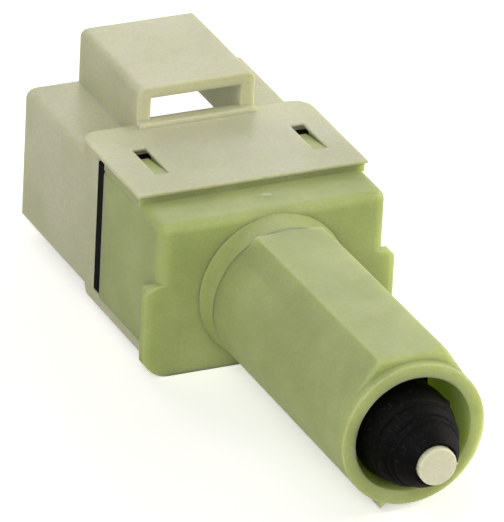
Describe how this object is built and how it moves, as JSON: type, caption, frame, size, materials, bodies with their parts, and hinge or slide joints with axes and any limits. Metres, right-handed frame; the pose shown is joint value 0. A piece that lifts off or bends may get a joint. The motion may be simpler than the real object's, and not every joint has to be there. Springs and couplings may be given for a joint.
{
  "type": "brake light switch",
  "caption": "Plunger switch with a tapered keyed barrel, rubber boot, moulded case with side ears, and a rear plug socket with a hollow latch bridge.",
  "frame": {"origin": "middle of the case's front face, at the height of the barrel's axis", "axes": "+Y from the plunger's tip towards the plug socket, +Z towards the latch bridge, +X to the right seen from the plunger's end"},
  "size_m": [0.0278, 0.0747, 0.0222],
  "materials": {
    "case_plastic": "satin moulded, pale green",
    "housing_nylon": "satin moulded, natural off-white",
    "base_plastic": "matt moulded, black",
    "seal_rubber": "matt, black",
    "boot_rubber": "matt, black",
    "plunger_plastic": "satin moulded, cream",
    "terminal_brass": "stamped, bright",
    "contact_silver": "bright silver alloy rivets",
    "spring_steel": "drawn wire and strip"
  },
  "bodies": {
    "case": {"switch_case": "case_plastic", "connector_housing": "housing_nylon", "terminal_base": "base_plastic", "base_seal": "seal_rubber", "lamp_terminal_upper": "terminal_brass", "lamp_terminal_lower": "terminal_brass", "cruise_terminal_upper": "terminal_brass", "cruise_terminal_lower": "terminal_brass", "lamp_fixed_contact_upper": "contact_silver", "lamp_fixed_contact_lower": "contact_silver", "cruise_fixed_contact_upper": "contact_silver", "cruise_fixed_contact_lower": "contact_silver", "guide_bush": "plunger_plastic", "boot_ring": "base_plastic", "bellows_boot": "boot_rubber", "return_spring": "spring_steel"},
    "plunger": {"plunger": "plunger_plastic", "contact_carrier": "base_plastic", "retaining_clip": "spring_steel", "lamp_moving_contacts": "contact_silver", "lamp_bridge": "terminal_brass", "cruise_moving_contacts": "contact_silver", "cruise_bridge": "terminal_brass", "lamp_contact_spring": "spring_steel", "cruise_contact_spring": "spring_steel"}
  },
  "joints": [
    {"name": "plunger_slide", "type": "slide", "parent": "case", "child": "plunger", "axis": [0, 1, 0], "range_m": [0, 0.0055], "stiffness_N_per_m": 600, "springref_m": -0.004, "deforming": ["return_spring", "bellows_boot"]}
  ]
}
